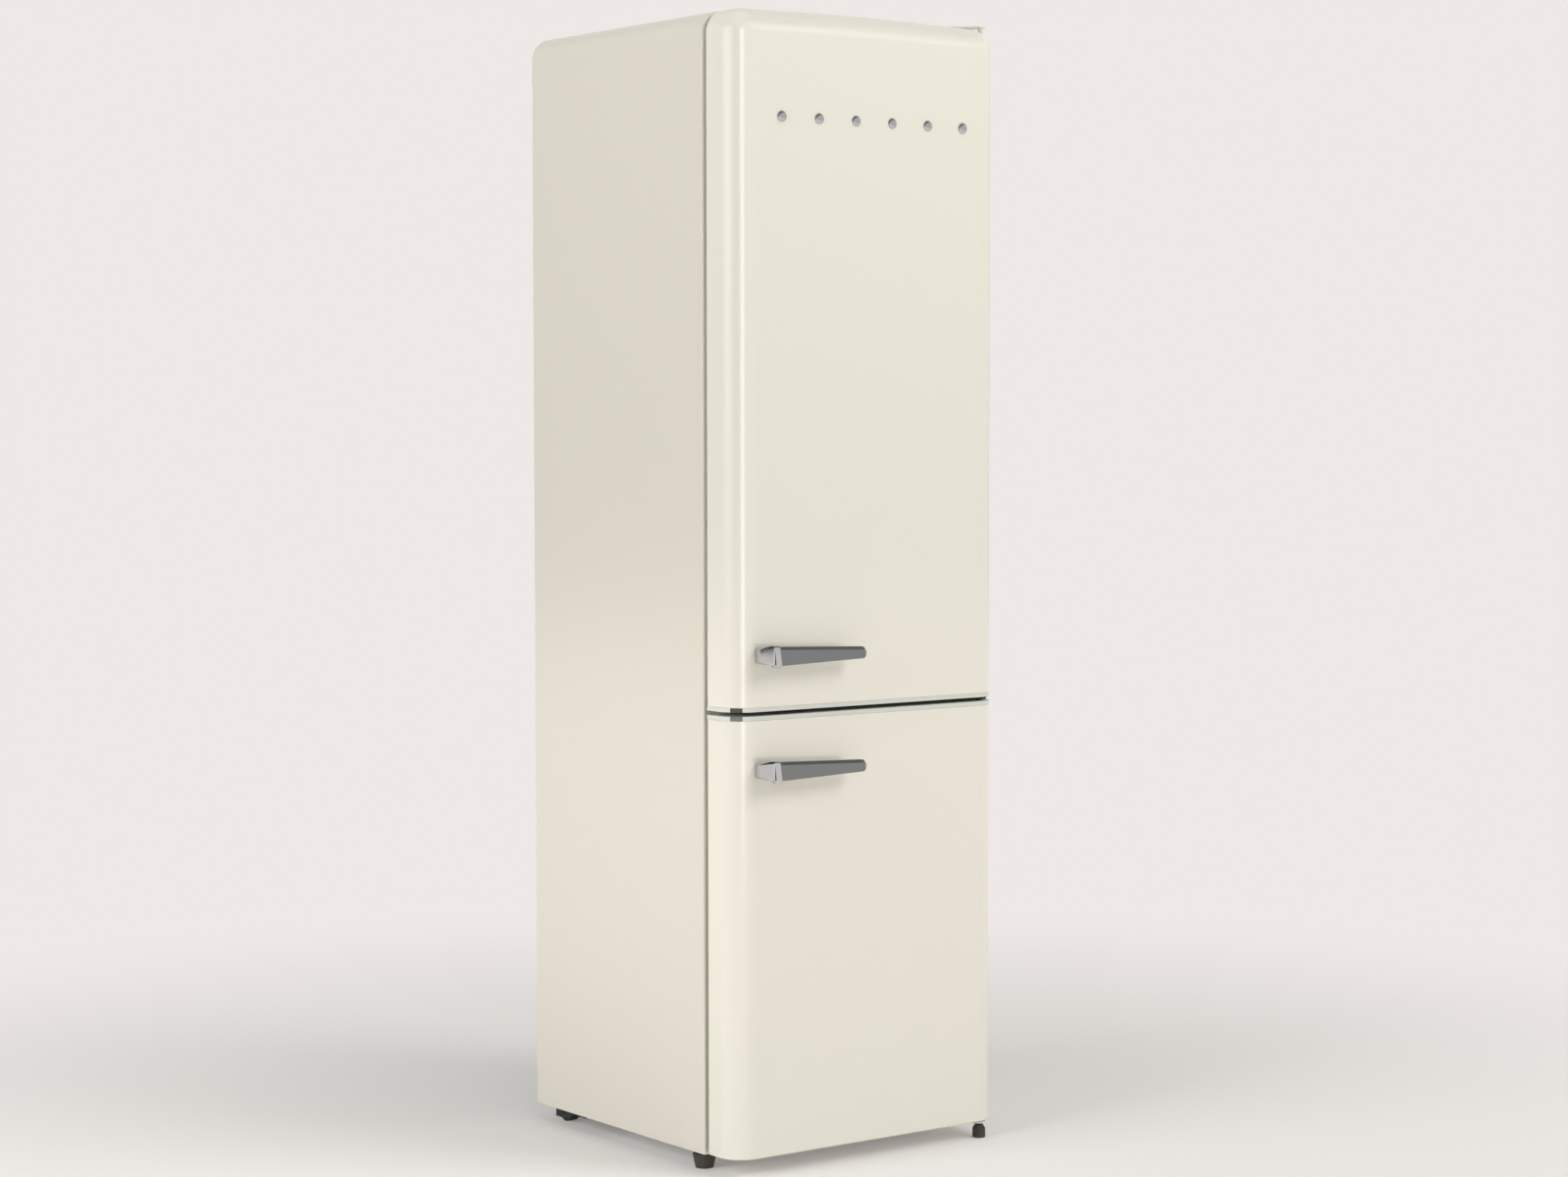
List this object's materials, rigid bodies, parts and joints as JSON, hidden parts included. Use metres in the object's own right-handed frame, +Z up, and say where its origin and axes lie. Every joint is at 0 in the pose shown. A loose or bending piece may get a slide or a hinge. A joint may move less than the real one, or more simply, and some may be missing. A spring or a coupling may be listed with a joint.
{
  "type": "fridge-freezer",
  "caption": "Tall retro fridge-freezer with rolled enamel edges, hinged upper and lower doors, short chrome handles, shelves, drawers and a rear compressor.",
  "frame": {"origin": "on the floor under the middle of the whole appliance, handles and rear condenser included", "axes": "+X to the hinge side, the right seen from the front; -Y out of the doors; +Z up"},
  "size_m": [0.55, 0.662, 1.893],
  "materials": {
    "cream_enamel_cabinet": "gloss",
    "cream_enamel_doors": "gloss",
    "galvanised_steel": "satin",
    "white_liner": "satin",
    "foam": "matte",
    "black_hinge_steel": "satin",
    "cream_plastic": "satin",
    "zinc_screws": "satin",
    "cold_plate_aluminium": "satin",
    "evaporator_coil": "satin",
    "shelf_glass": "polished",
    "white_trim": "satin",
    "lamp_glass": "gloss",
    "condenser_black": "satin",
    "compressor_black": "satin",
    "mount_rubber": "matte",
    "black_plastic": "matte",
    "grey_plastic": "matte",
    "copper": "satin",
    "gasket_rubber": "matte",
    "end_cap_grey": "satin",
    "plug_dark": "satin",
    "plug_grey": "satin",
    "bush_nylon": "satin",
    "clear_plastic": "gloss",
    "chrome_trim": "polished",
    "satin_blade": "satin",
    "foot_plastic": "matte",
    "roller_plastic": "matte"
  },
  "bodies": {
    "cabinet": {"cabinet_shell": "cream_enamel_cabinet", "back_panel": "galvanised_steel", "base_plate": "galvanised_steel", "mid_rail": "cream_enamel_cabinet", "fridge_liner": "white_liner", "freezer_liner": "white_liner", "foam_insulation": "foam", "top_hinge": "cream_enamel_cabinet", "top_hinge_cover": "cream_plastic", "middle_hinge": "black_hinge_steel", "bottom_hinge": "cream_enamel_cabinet", "cabinet_screws": "zinc_screws", "fridge_cold_plate": "cold_plate_aluminium", "freezer_plate_shelves": "evaporator_coil", "glass_shelves": "shelf_glass", "shelf_trims": "white_trim", "thermostat_housing": "white_trim", "lamp_bulb": "lamp_glass", "condenser": "condenser_black", "compressor": "compressor_black", "compressor_mounts": "mount_rubber", "compressor_rail": "black_hinge_steel", "relay_box": "black_plastic", "drip_tray": "grey_plastic", "drain_tube": "grey_plastic", "refrigerant_lines": "copper", "cord_inlet": "black_plastic"},
    "upper_door": {"upper_door_skin": "cream_enamel_doors", "upper_door_foam": "foam", "upper_door_liner": "white_liner", "upper_door_gasket": "gasket_rubber", "upper_door_end_cap": "end_cap_grey", "upper_door_plug": "plug_dark", "upper_door_bushes": "bush_nylon", "balcony_top": "clear_plastic", "balcony_middle": "clear_plastic", "balcony_bottles": "clear_plastic", "badge_studs": "chrome_trim", "upper_handle_base": "chrome_trim", "upper_handle_blade": "satin_blade"},
    "lower_door": {"lower_door_skin": "cream_enamel_doors", "lower_door_foam": "foam", "lower_door_liner": "white_liner", "lower_door_gasket": "gasket_rubber", "lower_door_end_cap": "end_cap_grey", "lower_door_plug": "plug_grey", "lower_door_bushes": "bush_nylon", "lower_handle_base": "chrome_trim", "lower_handle_blade": "satin_blade"},
    "crisper": {"crisper_drawer": "clear_plastic"},
    "drawer_top": {"freezer_drawer_top": "clear_plastic"},
    "drawer_middle": {"freezer_drawer_middle": "clear_plastic"},
    "drawer_bottom": {"freezer_drawer_bottom": "clear_plastic"},
    "knob": {"thermostat_knob": "white_trim"},
    "plunger": {"switch_plunger": "white_trim"},
    "left_foot": {"foot_left": "foot_plastic"},
    "right_foot": {"foot_right": "foot_plastic"},
    "left_roller": {"roller_left": "roller_plastic"},
    "right_roller": {"roller_right": "roller_plastic"}
  },
  "joints": [
    {"name": "upper_door_hinge", "type": "hinge", "parent": "cabinet", "child": "upper_door", "pos_m": [0.253, -0.2615, 0.752], "axis": [0, 0, 1], "range_deg": [0, 130]},
    {"name": "lower_door_hinge", "type": "hinge", "parent": "cabinet", "child": "lower_door", "pos_m": [0.253, -0.2615, 0.752], "axis": [0, 0, 1], "range_deg": [0, 130]},
    {"name": "crisper_slide", "type": "slide", "parent": "cabinet", "child": "crisper", "axis": [0, -1, 0], "range_m": [0, 0.1956]},
    {"name": "freezer_top_slide", "type": "slide", "parent": "cabinet", "child": "drawer_top", "axis": [0, -1, 0], "range_m": [0, 0.1752]},
    {"name": "freezer_middle_slide", "type": "slide", "parent": "cabinet", "child": "drawer_middle", "axis": [0, -1, 0], "range_m": [0, 0.1752]},
    {"name": "freezer_bottom_slide", "type": "slide", "parent": "cabinet", "child": "drawer_bottom", "axis": [0, -1, 0], "range_m": [0, 0.1752]},
    {"name": "thermostat_turn", "type": "hinge", "parent": "cabinet", "child": "knob", "pos_m": [-0.04, -0.12, 1.79], "axis": [0, 0, 1], "range_deg": [0, 270]},
    {"name": "switch_press", "type": "slide", "parent": "cabinet", "child": "plunger", "axis": [0, 1, 0], "range_m": [0, 0.004], "stiffness_N_per_m": 300},
    {"name": "left_foot_turn", "type": "hinge", "parent": "cabinet", "child": "left_foot", "pos_m": [-0.255, -0.1735, 0], "axis": [0, 0, 1], "continuous": true},
    {"name": "right_foot_turn", "type": "hinge", "parent": "cabinet", "child": "right_foot", "pos_m": [0.246, -0.272, 0], "axis": [0, 0, 1], "continuous": true},
    {"name": "left_roller_spin", "type": "hinge", "parent": "cabinet", "child": "left_roller", "pos_m": [-0.2395, 0.262, 0.018], "axis": [1, 0, 0], "continuous": true},
    {"name": "right_roller_spin", "type": "hinge", "parent": "cabinet", "child": "right_roller", "pos_m": [0.2395, 0.262, 0.018], "axis": [1, 0, 0], "continuous": true}
  ],
  "couplings": [
    {"joint": "crisper_slide", "follows": "upper_door_hinge", "m_per_rad": 0.086},
    {"joint": "freezer_top_slide", "follows": "lower_door_hinge", "m_per_rad": 0.077},
    {"joint": "freezer_middle_slide", "follows": "lower_door_hinge", "m_per_rad": 0.077},
    {"joint": "freezer_bottom_slide", "follows": "lower_door_hinge", "m_per_rad": 0.077}
  ]
}
